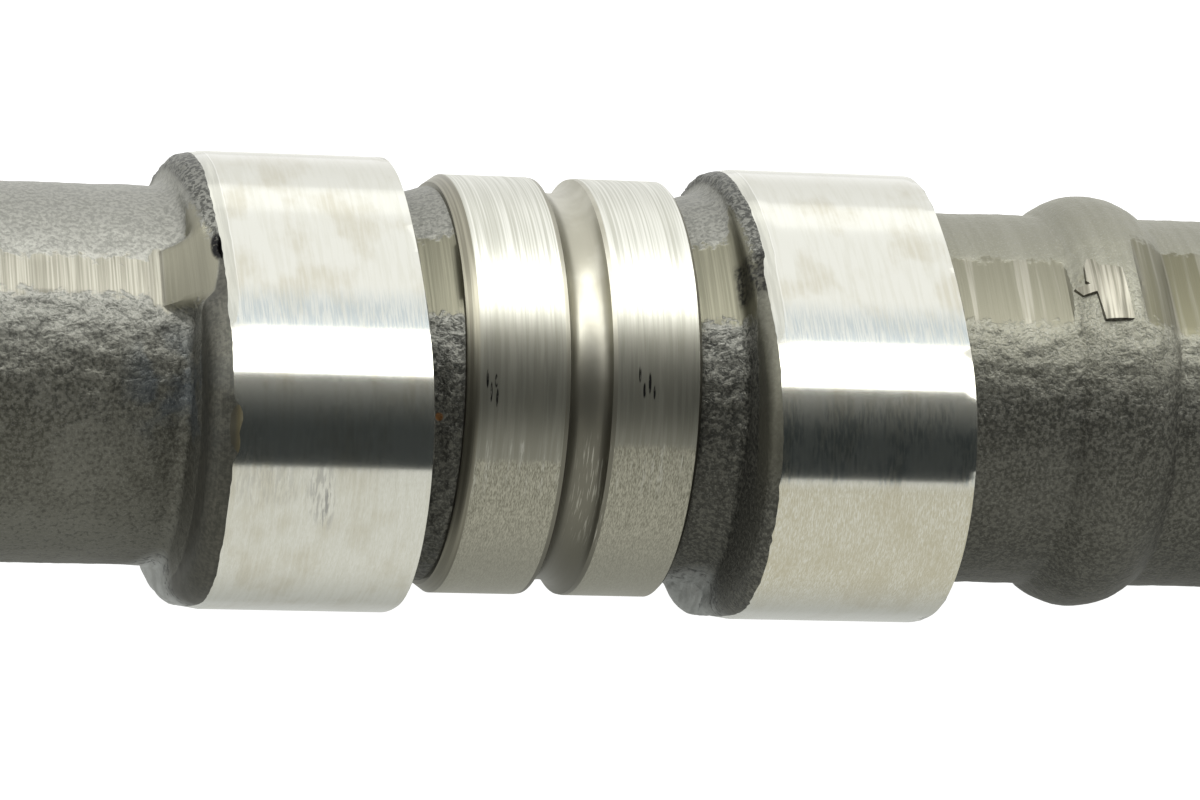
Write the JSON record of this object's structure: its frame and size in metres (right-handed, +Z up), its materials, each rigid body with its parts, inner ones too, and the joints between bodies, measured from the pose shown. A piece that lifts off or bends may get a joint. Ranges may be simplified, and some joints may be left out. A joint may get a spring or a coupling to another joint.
{
  "type": "camshaft",
  "caption": "One-piece chill-cast camshaft with paired ground lobes, grooved bearing journals and a sprocket pilot.",
  "frame": {"origin": "on the shaft axis, in the plane of the face that the sprocket seats on, at the root of the front pilot", "axes": "+X along the shaft from the sprocket end to the rear, +Z up as the shaft lies at rest on the noses of its second and third pairs of lobes; the first pair's noses point along -Y and the fourth pair's along +Z"},
  "size_m": [0.446, 0.0413, 0.0413],
  "materials": {
    "cast_iron": "as-cast grey skin, with ground and polished lobes and journals"
  },
  "bodies": {
    "root": {"camshaft": "cast_iron"}
  },
  "joints": []
}
